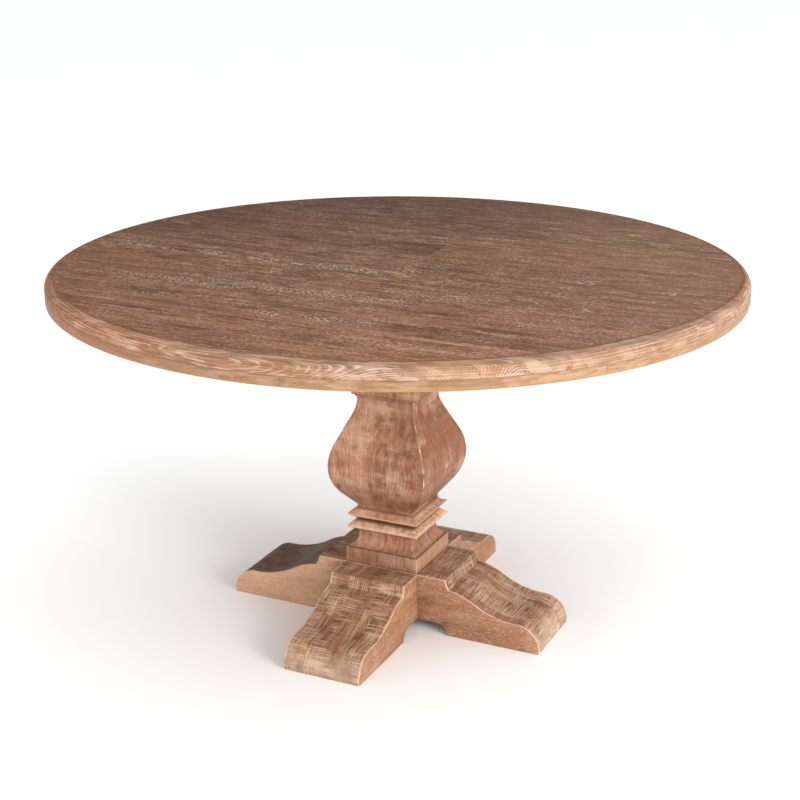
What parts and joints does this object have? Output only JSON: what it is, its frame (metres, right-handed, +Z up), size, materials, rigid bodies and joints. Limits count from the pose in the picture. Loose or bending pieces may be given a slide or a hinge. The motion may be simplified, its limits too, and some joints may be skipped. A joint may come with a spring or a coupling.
{
  "type": "round pedestal table",
  "caption": "Round boarded wood dining table with a built-up rounded rim, square urn pedestal and a cross of scroll feet with screw levellers.",
  "frame": {"origin": "on the floor, under the centre of the column", "axes": "+Z up; +X along the grain of the top and one foot beam, towards the right-hand foot; -Y towards the front foot"},
  "size_m": [1.4, 1.4, 0.762],
  "materials": {
    "top_wood": "wire-brushed, grey-brown limed stain, low sheen",
    "rim_wood": "sanded back, pale tan, low sheen",
    "column_wood": "warm brown stain, rubbed edges, low sheen",
    "foot_wood": "saw-marked, limed brown stain, worn edges",
    "frame_wood": "unfinished, planed",
    "zinc_steel": "zinc plated",
    "black_steel": "black oxide",
    "pad_nylon": "moulded nylon"
  },
  "bodies": {
    "root": {"top_board_01": "top_wood", "top_board_02_left": "top_wood", "top_board_02_right": "top_wood", "top_board_03_left": "top_wood", "top_board_03_right": "top_wood", "top_board_04_left": "top_wood", "top_board_04_right": "top_wood", "top_board_05_left": "top_wood", "top_board_05_right": "top_wood", "top_board_06_left": "top_wood", "top_board_06_right": "top_wood", "top_board_07_left": "top_wood", "top_board_07_right": "top_wood", "top_board_08_left": "top_wood", "top_board_08_middle": "top_wood", "top_board_08_right": "top_wood", "top_board_09_left": "top_wood", "top_board_09_right": "top_wood", "top_board_10_left": "top_wood", "top_board_10_right": "top_wood", "top_board_11_left": "top_wood", "top_board_11_right": "top_wood", "top_board_12": "top_wood", "top_board_13": "top_wood", "rim_segments": "rim_wood", "cleat_left": "frame_wood", "cleat_right": "frame_wood", "top_bearer_x": "frame_wood", "top_bearer_y": "frame_wood", "head_block": "frame_wood", "neck_moulding": "column_wood", "cap_block": "column_wood", "urn_body": "column_wood", "upper_collar": "column_wood", "lower_collar": "column_wood", "base_moulding": "column_wood", "plinth_block": "column_wood", "foot_beam_x_wide_plank": "foot_wood", "foot_beam_x_narrow_plank": "foot_wood", "foot_beam_y_wide_plank": "foot_wood", "foot_beam_y_narrow_plank": "foot_wood", "tie_rod": "zinc_steel", "tie_rod_nuts": "zinc_steel", "tie_rod_washers": "zinc_steel", "plinth_lag_screws": "black_steel", "head_lag_screws": "black_steel", "bearer_bolts": "black_steel", "bearer_washers": "zinc_steel", "bearer_inserts": "zinc_steel", "cleat_screws": "black_steel", "leveller_inserts": "zinc_steel"},
    "front_pad": {"leveller_front_pad": "pad_nylon"},
    "front_stem": {"leveller_front_stem": "zinc_steel"},
    "right_pad": {"leveller_right_pad": "pad_nylon"},
    "right_stem": {"leveller_right_stem": "zinc_steel"},
    "rear_pad": {"leveller_rear_pad": "pad_nylon"},
    "rear_stem": {"leveller_rear_stem": "zinc_steel"},
    "left_pad": {"leveller_left_pad": "pad_nylon"},
    "left_stem": {"leveller_left_stem": "zinc_steel"}
  },
  "joints": [
    {"name": "front_leveller_drop", "type": "slide", "parent": "root", "child": "front_pad", "axis": [0, 0, -1], "range_m": [0, 0.01]},
    {"name": "front_leveller_turn", "type": "hinge", "parent": "front_pad", "child": "front_stem", "pos_m": [0, -0.3, 0.02], "axis": [0, 0, -1], "range_deg": [0, 2885]},
    {"name": "right_leveller_drop", "type": "slide", "parent": "root", "child": "right_pad", "axis": [0, 0, -1], "range_m": [0, 0.01]},
    {"name": "right_leveller_turn", "type": "hinge", "parent": "right_pad", "child": "right_stem", "pos_m": [0.3, 0, 0.02], "axis": [0, 0, -1], "range_deg": [0, 2885]},
    {"name": "rear_leveller_drop", "type": "slide", "parent": "root", "child": "rear_pad", "axis": [0, 0, -1], "range_m": [0, 0.01]},
    {"name": "rear_leveller_turn", "type": "hinge", "parent": "rear_pad", "child": "rear_stem", "pos_m": [0, 0.3, 0.02], "axis": [0, 0, -1], "range_deg": [0, 2885]},
    {"name": "left_leveller_drop", "type": "slide", "parent": "root", "child": "left_pad", "axis": [0, 0, -1], "range_m": [0, 0.01]},
    {"name": "left_leveller_turn", "type": "hinge", "parent": "left_pad", "child": "left_stem", "pos_m": [-0.3, 0, 0.02], "axis": [0, 0, -1], "range_deg": [0, 2885]}
  ],
  "couplings": [
    {"joint": "front_leveller_turn", "follows": "front_leveller_drop", "rad_per_m": 5026.5},
    {"joint": "right_leveller_turn", "follows": "right_leveller_drop", "rad_per_m": 5026.5},
    {"joint": "rear_leveller_turn", "follows": "rear_leveller_drop", "rad_per_m": 5026.5},
    {"joint": "left_leveller_turn", "follows": "left_leveller_drop", "rad_per_m": 5026.5}
  ]
}
